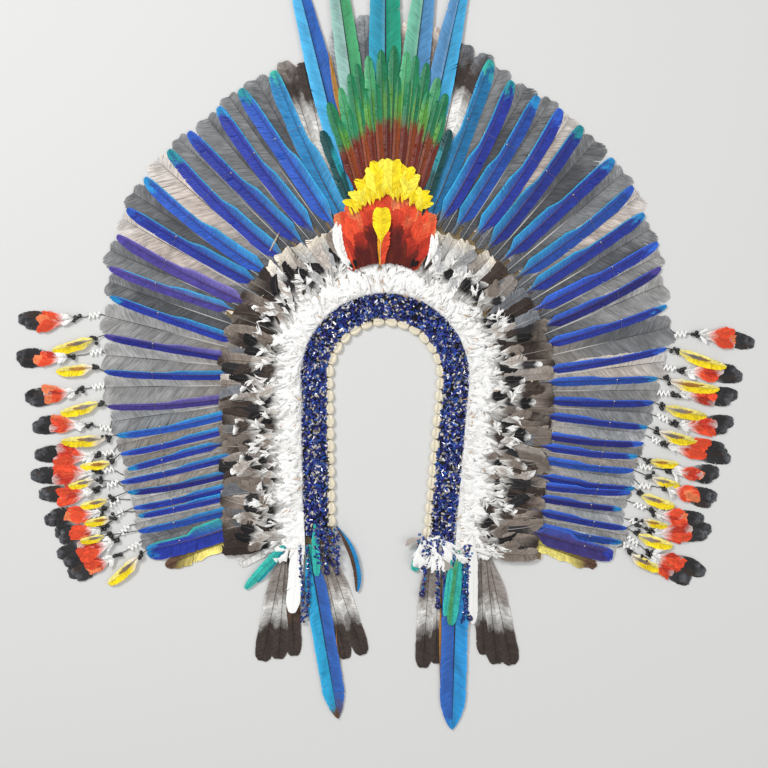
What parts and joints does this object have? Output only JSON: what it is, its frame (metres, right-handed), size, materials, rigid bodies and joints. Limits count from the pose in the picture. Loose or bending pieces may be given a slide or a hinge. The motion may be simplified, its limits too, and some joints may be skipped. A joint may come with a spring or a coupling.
{
  "type": "feathered headdress",
  "caption": "Ceremonial feathered headdress: a horseshoe band edged with shells and beads, a fan and crest of long feathers, side tassels and hanging lappets.",
  "frame": {"origin": "on the flat back of the band, at the crown, midway across the bead field", "axes": "+Y from the neck towards the crest, +X towards the right side as seen from the front, +Z out of the decorated face"},
  "size_m": [0.9561, 1.1578, 0.0159],
  "materials": {
    "woven_backing": "undyed cotton and palm fibre, woven",
    "cowrie_shell": "polished cream shell",
    "glass_beads": "opaque dark blue glass beads",
    "white_down": "loose white down",
    "covert_feather": "brown and black barred short feathers",
    "grey_flight_feather": "grey flight feathers, slightly glossy",
    "blue_flight_feather": "blue and violet flight feathers with a sheen",
    "tail_feather": "turquoise and blue tail feathers with a sheen",
    "brown_feather": "brown and grey feathers",
    "green_feather": "green feathers with red bases",
    "yellow_feather": "soft yellow feathers",
    "red_feather": "soft orange-red feathers",
    "black_feather": "dark brown feathers with a pale bar"
  },
  "bodies": {
    "root": {"backing_band": "woven_backing", "cowrie_edging": "cowrie_shell", "bead_field": "glass_beads", "down_ruff": "white_down", "covert_row_left": "covert_feather", "covert_row_right": "covert_feather", "fan_grey_left": "grey_flight_feather", "fan_grey_right": "grey_flight_feather", "fan_blue_left": "blue_flight_feather", "fan_blue_right": "blue_flight_feather", "crest_back_row": "brown_feather", "crest_tail_1": "tail_feather", "crest_tail_2": "tail_feather", "crest_tail_3": "tail_feather", "crest_tail_4": "tail_feather", "crest_tail_5": "tail_feather", "crest_green_row": "green_feather", "crest_yellow_row": "yellow_feather", "crest_red_row": "red_feather", "crest_centre_feather": "yellow_feather", "lappet_blue_left": "blue_flight_feather", "lappet_blue_right": "blue_flight_feather", "lappet_white_left": "white_down", "lappet_white_right": "white_down", "lappet_outer_tails_left": "black_feather", "lappet_outer_tails_right": "black_feather", "lappet_inner_tails_left": "black_feather", "lappet_inner_tails_right": "black_feather", "lappet_green_left": "green_feather", "lappet_green_right": "green_feather", "lappet_strands_left": "glass_beads", "lappet_strands_right": "glass_beads", "tassel_left_01": "red_feather", "tassel_left_02": "red_feather", "tassel_left_03": "red_feather", "tassel_left_04": "red_feather", "tassel_left_05": "red_feather", "tassel_left_06": "red_feather", "tassel_left_07": "red_feather", "tassel_left_08": "red_feather", "tassel_left_09": "red_feather", "tassel_left_10": "red_feather", "tassel_left_11": "red_feather", "tassel_right_01": "red_feather", "tassel_right_02": "red_feather", "tassel_right_03": "red_feather", "tassel_right_04": "red_feather", "tassel_right_05": "red_feather", "tassel_right_06": "red_feather", "tassel_right_07": "red_feather", "tassel_right_08": "red_feather", "tassel_right_09": "red_feather", "tassel_right_10": "red_feather", "tassel_right_11": "red_feather"}
  },
  "joints": []
}
